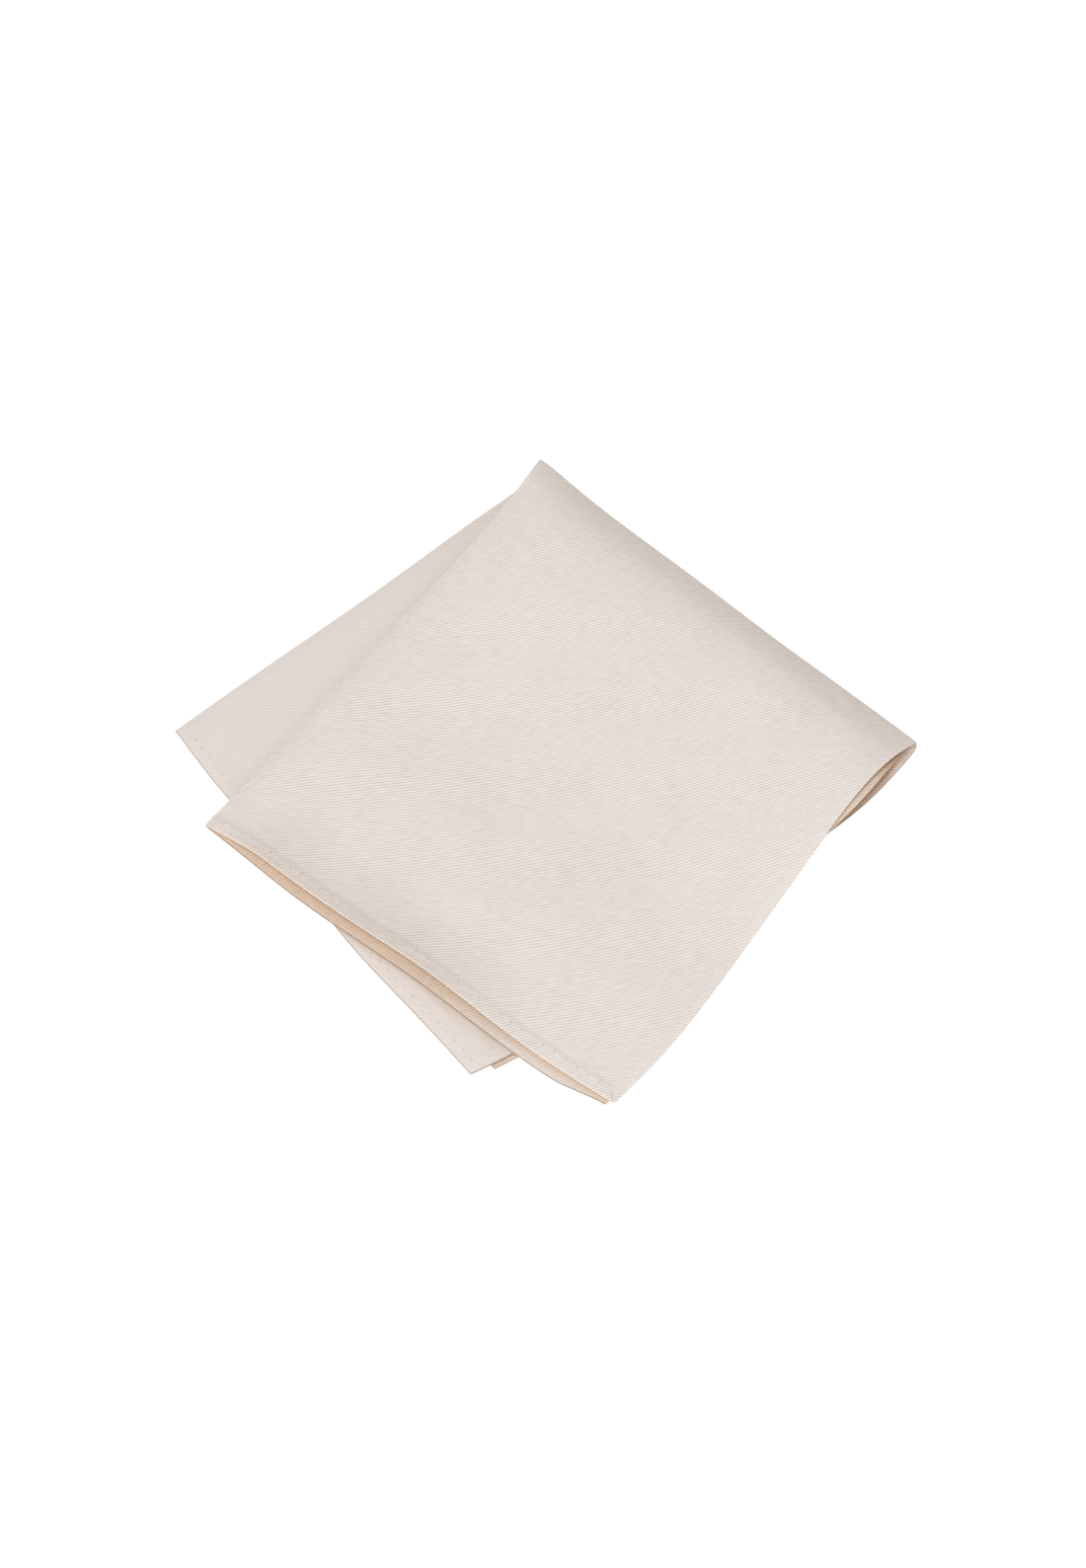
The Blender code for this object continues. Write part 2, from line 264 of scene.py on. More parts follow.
# Camera, in metres and degrees, with its lens and sensor in mm
CAMERA_DISTANCE = 1.0
CAMERA_ELEVATION = 60.0
CAMERA_LENS = 73.5
CAMERA_SENSOR = 36.0
CAMERA_CLIP = 0.01
AIM = Vector((-0.18 * MM, -6.06 * MM, 0.0))    # the spot that it looks at

SKEW = -tan(radians(FOLD_SKEW))
LOWER_FIRST = Vector((cos(radians(LAY_ANGLE)), sin(radians(LAY_ANGLE))))
LOWER_SIDE = Vector((-LOWER_FIRST.y, LOWER_FIRST.x))
FOLD_LINE = (LOWER_SIDE + SKEW * LOWER_FIRST).normalized()
INWARD = (LOWER_FIRST - SKEW * LOWER_SIDE).normalized()
TIP = FOLD_OFFSET * LOWER_FIRST


def clamped(x, low, high):
    return min(max(x, low), high)


def eased(x):
    """From 0 to 1 with level ends."""
    x = clamped(x, 0.0, 1.0)
    return x * x * (3 - 2 * x)


def turned_over(direction):
    """A direction in the lower pair as it lies in the top pair, mirrored over the second fold."""
    return direction - 2 * direction.dot(INWARD) * INWARD


TOP_TO_LEFT = turned_over(-LOWER_FIRST)
TOP_TO_RIGHT = turned_over(LOWER_SIDE)


def bow(edge, share):
    """How far an edge bulges out at a share of the way along it."""
    bend = sum(size * sin((i + 1) * pi * share) for i, size in enumerate(BOWS[edge]))
    if edge in TIP_PINCH:
        near = share / PINCH_SPOT
        bend -= TIP_PINCH[edge] * near * exp(1 - near)
    return bend * MM


def fold_edge(place):
    """Radius, rise and run of the second fold at a place along it."""
    for before, after in zip(FOLD_EDGE, FOLD_EDGE[1:]):
        if place <= after[0]:
            break
    mix = eased((place - before[0]) / (after[0] - before[0]))
    radius, rise, run = (a + (b - a) * mix for a, b in zip(before[1:], after[1:]))
    return radius * MM, radians(rise), run * MM


def first_fold(along, out, past):
    """Roll the cloth round the first fold, which is pressed to a small radius and opens inward."""
    turn = clamped(along / PINCH_RADIUS, -pi / 2, pi / 2)
    straight = max(abs(along) - PINCH_RADIUS * pi / 2, 0.0)
    opened = (LEAF_RADIUS - PINCH_RADIUS) * (1 - exp(-straight / PINCH_RUN))
    height = (PINCH_RADIUS + opened + out) * sin(turn)
    closed = LEAF_RADIUS - PINCH_RADIUS - opened
    height += closed * tanh(past / LIE_DOWN_RUN)
    return straight - (PINCH_RADIUS + out) * cos(turn), height


def second_fold(past, height, place):
    """Turn the cloth over the second fold's rounded edge, and lay it down on both sides of it."""
    radius, rise, run = fold_edge(place)
    lower_end = radius * pi / 2
    upper_end = -radius * (pi / 2 - rise)
    if past > lower_end:
        return past - lower_end, REST_HEIGHT - height
    if past >= upper_end:
        turn = pi / 2 - past / radius
        return -(radius + height) * sin(turn), REST_HEIGHT + radius - (radius + height) * cos(turn)
    length = upper_end - past
    start = -radius * sin(rise)
    spread = run * sqrt(pi) / 2
    lost = (1 - cos(rise)) * spread / sqrt(2) * erf(sqrt(2) * length / run)
    inward = start + length - lost
    on = (inward - start) / run
    slope = tan(rise) * exp(-on * on)
    crown = radius * (1 + cos(rise)) + spread * tan(rise)
    level = eased((inward - LEVEL_START) / (LEVEL_END - LEVEL_START))
    middle = crown - spread * tan(rise) * (1 - erf(on)) - (crown - 2 * PAIR_RADIUS) * level
    tilt = sqrt(1 + slope * slope)
    return inward - height * slope / tilt, REST_HEIGHT + middle + height / tilt


def fold_line_at(along):
    """Where the second fold crosses a line across it."""
    return FOLD_OFFSET + SKEW * abs(along)


def leaf_at(across, along):
    """Whether a place is in the lower pair, and the names of its leaf, pair and side."""
    lower = across > fold_line_at(along)
    outer = along >= 0
    leaf = {(False, True): "top", (False, False): "second",
            (True, False): "third", (True, True): "bottom"}[lower, outer]
    pair = "lower pair" if lower else "top pair"
    side = "outer leaves" if outer else "inner leaves"
    return lower, leaf, pair, side


def unevenness(lower, leaf, pair, side, from_second, from_first):
    """How far a place lies off the even fold, seen from above."""
    corners = (
        ("tip", (1 - from_second) * (1 - from_first)),
        (f"right, {side}", (1 - from_second) * from_first),
        (f"left, {pair}", from_second * (1 - from_first)),
        (f"front, {leaf}", from_second * from_first),
    )
    off = Vector((0.0, 0.0))
    for corner, share in corners:
        off += Vector(STRAYS[corner]) * share * MM
    to_left = LOWER_FIRST if lower else TOP_TO_LEFT
    to_right = LOWER_SIDE if lower else TOP_TO_RIGHT
    off -= to_right * bow(f"first fold, {pair}", from_second) * (1 - from_first)
    off -= INWARD * bow(f"second fold, {side}", from_first) * (1 - from_second)
    tucked = CORNER_TUCK.get(leaf, 0.0) * MM * eased((from_first - (1 - TUCK_SHARE)) / TUCK_SHARE)
    off += to_left * (bow(f"left hem, {leaf}", from_first) - tucked) * from_second
    off += to_right * bow(f"right hem, {leaf}", from_second) * from_first
    return off


def lifted_share(from_first):
    """How much of the top hem's lift there is at a place along it."""
    return min(eased(from_first / LIFT_GROWS),
               eased((LIFT_ENDS - from_first) / (LIFT_ENDS - LIFT_STARTS_DOWN)))


def folded(across, along, out):
    """Where a point of the flat cloth lies once it is folded."""
    fold_line = fold_line_at(along)
    scale = sqrt(1 + SKEW * SKEW)
    inward, height = first_fold(along, out, (across - fold_line) / scale)
    past = (across - FOLD_OFFSET - SKEW * inward) / scale
    down_fold = (SKEW * (across - FOLD_OFFSET) + inward) / scale
    from_first = clamped(abs(along) / HALF, 0.0, 1.0)
    lower, leaf, pair, side = leaf_at(across, along)
    leaf_length = HALF - fold_line if lower else HALF + fold_line
    from_second = clamped(abs(across - fold_line) / leaf_length, 0.0, 1.0)
    in_from_fold, z = second_fold(past, height, from_first)
    spot = TIP + FOLD_LINE * down_fold + INWARD * in_from_fold
    if not lower:
        overhang = max(spot.dot(LOWER_FIRST), spot.dot(LOWER_SIDE)) - HALF
        settled = eased((overhang - SETTLE_START) / SETTLE_RUN)
        z -= SETTLE_DROP * settled
        close = exp(-max(inward, 0) / EDGE_RUN)
        close *= eased((in_from_fold - EDGE_DROP_START) / EDGE_DROP_GROWS)
        z -= EDGE_DROP * close * (1 - settled)
    if leaf == "top":
        near_hem = clamped(1 - (1 - from_second) / LIFT_REACH, 0.0, 1.0)
        z += HEM_LIFT * lifted_share(from_first) * near_hem ** LIFT_POWER
        towards_hem = eased((from_first - CORNER_LIFT_START) / (1 - CORNER_LIFT_START))
        z += CORNER_LIFT * towards_hem * (1 - eased(from_second / CORNER_LIFT_END))
        puff = 1 - exp(-max(inward, 0) / PINCH_RUN)
        puff *= eased((1 - from_first) / PUFF_AT_RIGHT) * eased((1 - from_second) / PUFF_AT_LEFT)
        z += TOP_PUFF * puff * eased(in_from_fold / PUFF_AT_FOLD)
        crease = exp(-((in_from_fold - CREASE_PLACE) / CREASE_WIDTH) ** 2)
        z += CREASE_HEIGHT * crease * eased((from_first - CREASE_START) / CREASE_GROWS)
    spot += unevenness(lower, leaf, pair, side, from_second, from_first)
    return Vector((spot.x, spot.y, z))


def spaced(start, end, strips):
    return [start + (end - start) * i / strips for i in range(strips + 1)]


RIM_THICKNESS = SHEET + HEM_BACK + HEM_FACE
RIM_BULGE = 0.45 * RIM_THICKNESS    # its rounding stands out by this
CORNER_BULGE = 0.75                 # and by this share of it at a corner
EDGE = HALF - RIM_BULGE             # where the face and the back end, from the middle
SEAM = HALF - HEM_WIDTH             # the inner side of the hem, from the middle
TOUCHING = 1e-7                     # two places nearer than this are the same

# Lines along the hem that shape it, in mm past its inner side. The edge is one more.
HEM_LINES = (-1.8, -1.3, -0.9, -0.5, -0.1, 0.2, 0.5, 0.8, 1.2, 1.7, 2.6, 3.4)

# How many strips the cloth is cut into
FOLD_STRIPS = 12     # round the first fold
NEAR_STRIPS = 12     # beside it
NEAR_END = 12 * MM   # as far in as this
LEAF_STRIPS = 62     # from there to the hem
ROLL_STRIPS = 24     # round the second fold
ROLL_SPARE = 1.25    # which reach this many times as far as the roll at its widest
LONG_STRIPS = 66     # from there to the hem
LONG_POWER = 1.25    # with this power of the way, so that they widen towards it
RIM_STRIPS = 6       # over the rim
NEAR_FOLD = ROLL_SPARE * pi / 2 * FOLD_EDGE[-1][1] * MM


def hem_lines():
    """Distances from the middle of the cloth of the lines that shape the hem."""
    return [SEAM + line * MM for line in HEM_LINES] + [EDGE]


def into_hem(across, along):
    """How far a place lies out past the inner side of the hem."""
    return max(abs(across), abs(along)) - SEAM


def cut_lines_along():
    """Distances from the first fold of the lines that run beside it, on both sides."""
    arc = PINCH_RADIUS * pi / 2
    lines = hem_lines()
    near = spaced(arc, NEAR_END, NEAR_STRIPS)
    side = near + spaced(NEAR_END, lines[0], LEAF_STRIPS)[1:] + lines[1:]
    around = spaced(-arc, arc, FOLD_STRIPS)[1:-1]
    return [-d for d in reversed(side)] + around + side


def cut_lines_across():
    """Each line as a distance past the second fold and a share of the way on to the hem."""
    shares = [share ** LONG_POWER for share in spaced(0, 1, LONG_STRIPS)[1:]]
    top = [(-NEAR_FOLD, -s) for s in reversed(shares)]
    around = [(d, 0.0) for d in spaced(-NEAR_FOLD, NEAR_FOLD, ROLL_STRIPS)]
    lower = [(NEAR_FOLD, s) for s in shares]
    return top + around + lower


def across_at(line, along):
    """Where one of the lines beside the second fold is, at a distance along it."""
    near, share = line
    fold_line = fold_line_at(along)
    room = hem_lines()[0] - abs(near)
    return fold_line + near + share * (room - fold_line if share > 0 else room + fold_line)


def ridge(past_seam):
    """The turned cloth stands up a little along the inner side of the hem."""
    return exp(-((past_seam - RIDGE_PLACE) / RIDGE_WIDTH) ** 2)


def crispness(across, along):
    """How plainly a hem shows: the top pair's left hems are the least pressed."""
    if across > abs(along):
        return PRESSED_HEM
    return 1.0 if -across > abs(along) else RIGHT_HEM


def face_out(across, along):
    """Offset of the face: the hem lifts it a little, and the stitches draw it in."""
    past_seam = into_hem(across, along)
    groove = exp(-((past_seam - GROOVE_PLACE) / GROOVE_WIDTH) ** 2)
    lifted = HEM_FACE * eased(0.5 + past_seam / HEM_STEP) + HEM_RIDGE * ridge(past_seam)
    return SHEET / 2 + (lifted - STITCH_GROOVE * groove) * crispness(across, along)


def back_out(across, along):
    """Offset of the back, with the turned hem standing proud."""
    room = eased(FOLD_ROOM + abs(along) / FOLD_ROOM_RUN)
    return -SHEET / 2 - HEM_BACK * room * eased(into_hem(across, along) / FLAP_STEP)


# The diagonal lines run parallel to the leaf's left and right corners, and swing a little.
TOP_LEAN = 0.050            # mean lean in the top pair
SWING = 0.070               # and how much it swings both ways
SWING_LENGTH = 220 * MM
SWING_PLACE = -8 * MM
LOWER_LEAN = -0.02          # mean lean in the lower pair
HEM_LEAN = 0.22             # what is added to the lean in the top pair's left hems
HEM_DENSER = 1.22           # and how much closer the lines lie there
HEM_TURN = 0.65 * MM        # from this far past the hem's inner side
MITRE_WIDTH = 1.5 * MM      # the lines fade where two hems meet
PLAIN_TOP = 0.80            # how plainly the lines show on the top pair
PLAIN_LOWER = 0.3           # and on the lower pair, which is pressed smooth
PLAIN_HEM = 1.05            # and on the hems, which are crimped
PLAIN_START = 0.5 * MM      # from this far past the hem's inner side
PLAIN_STEP = 1 * MM         # and fully this much further
RIDGE_WORN = 0.7            # what the hem's ridge takes off them


def weave(across, along):
    """Weave coordinates of a cloth point: across the diagonal lines, and along them."""
    line = (across - along) / sqrt(2)
    run = (across + along) / sqrt(2)
    if across < fold_line_at(along):
        turn = 2 * pi / SWING_LENGTH
        line -= TOP_LEAN * run - SWING / turn * cos(turn * (run - SWING_PLACE))
    else:
        line -= LOWER_LEAN * run
    past_seam = into_hem(across, along)
    if past_seam > HEM_TURN and -across > abs(along):
        line = (line + HEM_LEAN * past_seam) * HEM_DENSER
    return line, run


def plainness(across, along):
    """How plainly the diagonal lines show at a place of the cloth."""
    past_seam = into_hem(across, along)
    middle = PLAIN_TOP if across < fold_line_at(along) else PLAIN_LOWER
    hem = PLAIN_HEM * crispness(across, along)
    mitre = eased(abs(abs(across) - abs(along)) / MITRE_WIDTH) if past_seam > 0 else 1.0
    lines = middle + (hem - middle) * eased((past_seam - PLAIN_START) / PLAIN_STEP)
    return lines * (1 - RIDGE_WORN * ridge(past_seam)) * mitre


class Sheet:
    """The cloth's mesh while it is built."""

    def __init__(self):
        self.points = []    # places once it is folded
        self.cloth = []     # the same points' places on the flat cloth
        self.sides = []     # and the side that each is on: face, back or rim
        self.faces = []     # the numbers of each face's corners
        self.kinds = []     # and its kind: face, back, flap, light rim or dark rim
        self.rounds = {}    # which round over the rim a point is in, by its number

    def add_point(self, across, along, out, side):
        self.points.append(folded(across, along, out))
        self.cloth.append((across, along))
        self.sides.append(side)
        return len(self.points) - 1

    def add_face(self, corners, kind):
        self.faces.append(corners)
        self.kinds.append(kind)


def add_grid(sheet, side, offset):
    """The points of the cloth's face or back, in rows across the second fold."""
    tail = hem_lines()[1:]
    lines = cut_lines_across()
    rows = []
    for along in cut_lines_along():
        stations = [-d for d in reversed(tail)] + [across_at(line, along) for line in lines] + tail
        rows.append([sheet.add_point(across, along, offset(across, along), side) for across in stations])
    return rows


def fill_grid(sheet, side, rows):
    """The faces between the rows, wound so that they face away from the cloth's middle."""
    for row, next_row in zip(rows, rows[1:]):
        for i in range(len(row) - 1):
            corners = [row[i], row[i + 1], next_row[i + 1], next_row[i]]
            if side == "face":
                sheet.add_face(corners[::-1], "face")
                continue
            centre = [sum(abs(sheet.cloth[c][axis]) for c in corners) / 4 for axis in (0, 1)]
            sheet.add_face(corners, "flap" if max(centre) > SEAM else "back")


def rim_of(rows):
    """The outermost points of a grid, once round."""
    right = [row[-1] for row in rows[1:]]
    left = [row[0] for row in rows[1:-1]]
    return rows[0] + right + rows[-1][-2::-1] + left[::-1]


def pushed_out(place, bulge):
    """A place on the edge moved out by the bulge of the rim, and other places as they are."""
    if abs(abs(place) - EDGE) > TOUCHING:
        return place
    return place + bulge * (1 if place > 0 else -1)


def add_rim_ring(sheet, edge, angle):
    """One round of points over the rim, between the edge of the face and that of the back."""
    ring = []
    for vertex in edge:
        across, along = sheet.cloth[vertex]
        middle = (face_out(across, along) + back_out(across, along)) / 2
        half = (face_out(across, along) - back_out(across, along)) / 2
        at_corner = min(abs(across), abs(along)) > EDGE - TOUCHING
        bulge = RIM_BULGE * sin(angle) * (CORNER_BULGE if at_corner else 1.0)
        out = middle + half * cos(angle)
        ring.append(sheet.add_point(pushed_out(across, bulge), pushed_out(along, bulge), out, "rim"))
    return ring


def build_sheet():
    sheet = Sheet()
    grids = {"face": add_grid(sheet, "face", face_out), "back": add_grid(sheet, "back", back_out)}
    for side, rows in grids.items():
        fill_grid(sheet, side, rows)
    rings = [rim_of(grids["face"])]
    for step in range(1, RIM_STRIPS):
        rings.append(add_rim_ring(sheet, rings[0], pi * step / RIM_STRIPS))
    rings.append(rim_of(grids["back"]))
    for ring, next_ring in zip(rings, rings[1:]):
        for i in range(len(ring)):
            across, along = sheet.cloth[ring[i]]
            # The top leaf's rims and the second leaf's right rim keep the face's colours; the others take
            # darker ones, painted shade
            inner_right = across <= 0 and along < 0 and -along > -across
            light = leaf_at(across, along)[1] == "top" or inner_right
            corners = [ring[i - 1], ring[i], next_ring[i], next_ring[i - 1]]
            sheet.add_face(corners, "light rim" if light else "painted shade rim")
    sheet.rounds = {vertex: number for number, ring in enumerate(rings) for vertex in ring}
    return sheet


def flap_coordinates(across, along, centre):
    """The flap's own cloth, which lies past the edge it is turned over."""
    if abs(centre[0]) > abs(centre[1]):
        return (SQUARE - abs(across)) * (1 if across > 0 else -1), along
    return across, (SQUARE - abs(along)) * (1 if along > 0 else -1)


def bake_place(across, along, on_back, rounds):
    """Place on the flat map for baking: the face and its rim on the left half, the back on the right."""
    scale = (1 + rounds * BAKE_ROUND / HALF) / (HALF + BAKE_MARGIN) / 2
    return (0.5 + across * scale + on_back) / 2, 0.5 + along * scale


# On which side of the second and of the first fold each leaf is
LEAF_SIGNS = {"top": (-1, 1), "second": (-1, -1), "third": (1, -1), "bottom": (1, 1)}
LEAVES_OVER = {
    # leaf and side: the leaf whose edges shade it, and what its first fold, left and right hem count
    ("second", "back"): ("top", (1.0, 1.05, 0.9)),
    ("third", "face"): ("second", (FOLD_SHADE, 0.35, 1.1)),
    ("bottom", "back"): ("third", (1.0, 1.0, 1.0)),
    ("top", "back"): ("top", (1.0, 1.0, 1.0)),
    ("second", "face"): ("second", (FOLD_SHADE, 1.0, 1.0)),
    ("third", "back"): ("third", (1.0, 1.0, 1.0)),
    ("second", "rim"): ("top", (1.0, 1.0, 2.0)),
}


def free_edges(leaf):
    """The first fold, the left hem and the right hem of a leaf, from the tip round to the right."""
    across_side, along_side = LEAF_SIGNS[leaf]
    hem = across_side * HALF
    end = fold_line_at(HALF)
    steps = spaced(0, 1, EDGE_STEPS)
    first = [folded(FOLD_OFFSET + (hem - FOLD_OFFSET) * s, along_side * OFF_FOLD, 0.0) for s in steps]
    left = [folded(hem, along_side * HALF * s, 0.0) for s in steps[1:]]
    right = [folded(hem + (end - hem) * s, along_side * HALF, 0.0) for s in steps[1:]]
    edge = numpy.array(first + left + right)
    edge[:len(first), 2] += FOLD_SWELL
    return edge


def inside_outline(points, outline):
    """Whether each point lies within an outline, seen from above."""
    closed = numpy.vstack((outline, outline[:1]))
    low, high = closed[:-1], closed[1:]
    y = points[:, 1, None]
    crosses = (low[:, 1] > y) != (high[:, 1] > y)
    rise = numpy.where(high[:, 1] == low[:, 1], 1.0, high[:, 1] - low[:, 1])
    at = low[:, 0] + (y - low[:, 1]) / rise * (high[:, 0] - low[:, 0])
    return (crosses & (points[:, 0, None] < at)).sum(1) % 2 == 1


def openness_under(points, edge, shades):
    """Share of the sky that points see past the nearest free edge of the leaf over them."""
    # What each step of the edge counts, blended where one edge passes into the next
    counts = numpy.append(numpy.repeat(shades, EDGE_STEPS), shades[-1])
    counts = numpy.pad(counts, EDGE_BLEND // 2, "edge")
    counts = numpy.convolve(counts, numpy.ones(EDGE_BLEND) / EDGE_BLEND, "valid")
    # The step nearest to each point, and which part of the way along that step
    starts, ends = edge[:-1], edge[1:]
    steps = (ends - starts)[:, :2]
    away = points[:, None, :2] - starts[None, :, :2]
    share = numpy.clip((away * steps).sum(2) / (steps ** 2).sum(1), 0, 1)
    gap = numpy.sqrt(((away - share[..., None] * steps) ** 2).sum(2))
    nearest = gap.argmin(1)
    order = numpy.arange(len(points))
    part = share[order, nearest]
    # The height of the gap there, how far out from under the leaf the point is, and what it hides
    height = starts[nearest, 2] * (1 - part) + ends[nearest, 2] * part - points[:, 2]
    height = numpy.maximum(numpy.abs(height), LEAST_GAP)
    out = numpy.where(inside_outline(points, edge), -1.0, 1.0) * gap[order, nearest]
    hidden = (1 - out / numpy.sqrt(out ** 2 + height ** 2)) / 2
    count = counts[nearest] * (1 - part) + counts[nearest + 1] * part
    return 1 - numpy.minimum(hidden * count, 1)


def openness(sheet):
    """Share of the sky that each point sees past the leaves over it, by which the colours paint shade."""
    edges = {leaf: free_edges(leaf) for leaf in LEAF_SIGNS}
    spots = numpy.array(sheet.points)
    leaves = [leaf_at(*place)[1] for place in sheet.cloth]
    result = numpy.ones(len(spots))
    for i, (across, along) in enumerate(sheet.cloth):
        # Painted warm light near the top leaf's lifted left hem, put into its colour
        if leaves[i] == "top" and sheet.sides[i] != "back":
            lifted = LEAST_PAINTED_GLOW + (1 - LEAST_PAINTED_GLOW) * lifted_share(along / HALF)
            result[i] = 1 - PAINTED_HEM_GLOW * exp(-(HALF + across) / PAINTED_HEM_GLOW_REACH) * lifted
    # Painted shade: under each leaf the colour deepens by what the leaf over it hides of the sky
    for (leaf, side), (cover, shades) in LEAVES_OVER.items():
        chosen = [i for i in range(len(spots)) if leaves[i] == leaf and sheet.sides[i] == side]
        for start in range(0, len(chosen), CHUNK):
            some = chosen[start:start + CHUNK]
            result[some] = openness_under(spots[some], edges[cover], shades)
    return result


def add_mesh(name, points, faces):
    mesh = bpy.data.meshes.new(name)
    mesh.from_pydata(points, [], faces)
    piece = bpy.data.objects.new(name, mesh)
    bpy.context.scene.collection.objects.link(piece)
    return piece


# Which of the cloth's materials, face, back and the rims' painted shade, a kind of face has
MATERIAL_OF = {"face": 0, "flap": 0, "light rim": 0, "back": 1, "painted shade rim": 2}


def make_cloth(materials):
    sheet = build_sheet()
    piece = add_mesh("pocket_square_cloth", sheet.points, sheet.faces)
    mesh = piece.data
    for material in materials:
        mesh.materials.append(material)
    weave_layer = mesh.uv_layers.new(name="weave")
    open_layer = mesh.uv_layers.new(name="openness")
    bake_layer = mesh.uv_layers.new(name="OFBake")
    open_share = openness(sheet)
    for polygon, kind in zip(mesh.polygons, sheet.kinds):
        polygon.material_index = MATERIAL_OF[kind]
        centre = [sum(sheet.cloth[v][axis] for v in polygon.vertices) / 4 for axis in (0, 1)]
        for loop in polygon.loop_indices:
            vertex = mesh.loops[loop].vertex_index
            across, along = sheet.cloth[vertex]
            past_face = sheet.rounds[vertex] if kind in ("light rim", "painted shade rim") else 0
            bake_layer.data[loop].uv = bake_place(across, along, kind in ("back", "flap"), past_face)
            if kind == "flap":
                across, along = flap_coordinates(across, along, centre)
            weave_layer.data[loop].uv = weave(across, along)
            open_layer.data[loop].uv = (open_share[vertex], plainness(across, along))
    mesh.shade_smooth()
    return piece


# The stitches that show on the face
STITCH_LINE = SEAM + 1.2 * MM    # from the middle of the cloth
STITCH_PITCH = 4.1 * MM
STITCH_START = 0.2               # share of the pitch before the first one
STITCH_SIZES = {
    # hem: length and radius of a stitch
    "left": (0.7 * MM, 0.17 * MM),
    "right": (0.5 * MM, 0.1 * MM),
}
STITCH_PROFILE = [
    # share of the length, share of the radius
    (0.0, 0.25),
    (0.2, 0.9),
    (0.5, 1.0),
    (0.8, 0.9),
    (1.0, 0.25),
]
STITCH_SIDES = 6
STITCH_RISE = 0.3                # its middle lies this share of its radius over the face
STITCH_FLATNESS = 0.7            # and it is this much as high as it is wide


def add_stitch(points, faces, hem, side, start):
    """One stitch along a hem, a short piece of thread that narrows towards both ends."""
    length, radius = STITCH_SIZES[hem]
    rings = []
    for share, swell in STITCH_PROFILE:
        at = start + length * share
        across, along = (at, side * STITCH_LINE) if hem == "right" else (side * STITCH_LINE, at)
        face_height = face_out(across, along) + radius * STITCH_RISE
        ring = []
        for k in range(STITCH_SIDES):
            angle = 2 * pi * k / STITCH_SIDES
            sideways = radius * swell * cos(angle)
            up = face_height + radius * swell * sin(angle) * STITCH_FLATNESS
            ring.append(len(points))
            if hem == "right":
                points.append(folded(across, along + sideways, up))
            else:
                points.append(folded(across + sideways, along, up))
        rings.append(ring)
    for ring, next_ring in zip(rings, rings[1:]):
        for k in range(STITCH_SIDES):
            faces.append([ring[k - 1], ring[k], next_ring[k], next_ring[k - 1]])
    faces.append(rings[0][::-1])
    faces.append(rings[-1])


def make_stitches(material):
    points = []
    faces = []
    for hem in ("right", "left"):
        for side in (-1, 1):
            for number in range(floor(2 * STITCH_LINE / STITCH_PITCH)):
                add_stitch(points, faces, hem, side, (number + STITCH_START) * STITCH_PITCH - STITCH_LINE)
    piece = add_mesh("hem_stitches", points, faces)
    piece.data.materials.append(material)
    piece.data.shade_smooth()
    return piece


def new_material(name):
    material = bpy.data.materials.new(name)
    material.use_nodes = True
    return material, material.node_tree, material.node_tree.nodes["Principled BSDF"]


def feed(tree, socket, value):
    """Set a socket to a number, or link it to another node's output."""
    if isinstance(value, (int, float)):
        socket.default_value = value
    else:
        tree.links.new(value, socket)


def compute(tree, operation, *values):
    """A math node on one or two values."""
    node = tree.nodes.new("ShaderNodeMath")
    node.operation = operation
    for socket, value in zip(node.inputs, values):
        feed(tree, socket, value)
    return node.outputs["Value"]


def plus(tree, first, second):
    return compute(tree, "ADD", first, second)


def minus(tree, first, second):
    return compute(tree, "SUBTRACT", first, second)


def times(tree, first, second):
    return compute(tree, "MULTIPLY", first, second)


def blend_numbers(tree, share, low, high):
    """low where share is 0 and high where it is 1."""
    return plus(tree, times(tree, minus(tree, high, low), share), low)


def noise(tree, name, x, y):
    """The noise of this name in NOISES, over two coordinates."""
    x_scale, y_scale, layer, detail = NOISES[name]
    spot = tree.nodes.new("ShaderNodeCombineXYZ")
    for socket, value in zip(spot.inputs, (times(tree, x, x_scale), times(tree, y, y_scale), layer)):
        feed(tree, socket, value)
    node = tree.nodes.new("ShaderNodeTexNoise")
    node.inputs["Scale"].default_value = 1.0
    node.inputs["Detail"].default_value = detail
    tree.links.new(spot.outputs[0], node.inputs["Vector"])
    return node.outputs["Fac"]


def ramp(tree, value, colours, start, end):
    """The dark colour up to start, the light one from end on, and a blend between."""
    node = tree.nodes.new("ShaderNodeValToRGB")
    light, dark = colours
    for element, at, colour in zip(node.color_ramp.elements, (start, end), (dark, light)):
        element.position = at
        element.color = (*colour, 1.0)
    tree.links.new(value, node.inputs["Fac"])
    return node.outputs["Color"]


def bump(tree, height, strength, distance):
    node = tree.nodes.new("ShaderNodeBump")
    node.inputs["Strength"].default_value = strength
    node.inputs["Distance"].default_value = distance
    tree.links.new(height, node.inputs["Height"])
    return node.outputs["Normal"]


def finish_shader(tree, shader, colour, roughness, normal):
    tree.links.new(colour, shader.inputs["Base Color"])
    tree.links.new(roughness, shader.inputs["Roughness"])
    tree.links.new(normal, shader.inputs["Normal"])


def set_constants(shader, values):
    for name, value in values.items():
        shader.inputs[name].default_value = value


def let_through(tree, shader):
    """Let a share of the light through the cloth, tinted."""
    through = tree.nodes.new("ShaderNodeBsdfTranslucent")
    through.inputs["Color"].default_value = (*THROUGH_COLOUR, 1.0)
    mixed = tree.nodes.new("ShaderNodeMixShader")
    mixed.inputs["Fac"].default_value = THROUGH
    tree.links.new(shader.outputs[0], mixed.inputs[1])
    tree.links.new(through.outputs[0], mixed.inputs[2])
    tree.links.new(mixed.outputs[0], tree.nodes["Material Output"].inputs["Surface"])


def split(tree, vector):
    parts = tree.nodes.new("ShaderNodeSeparateXYZ")
    tree.links.new(vector, parts.inputs[0])
    return parts.outputs["X"], parts.outputs["Y"], parts.outputs["Z"]


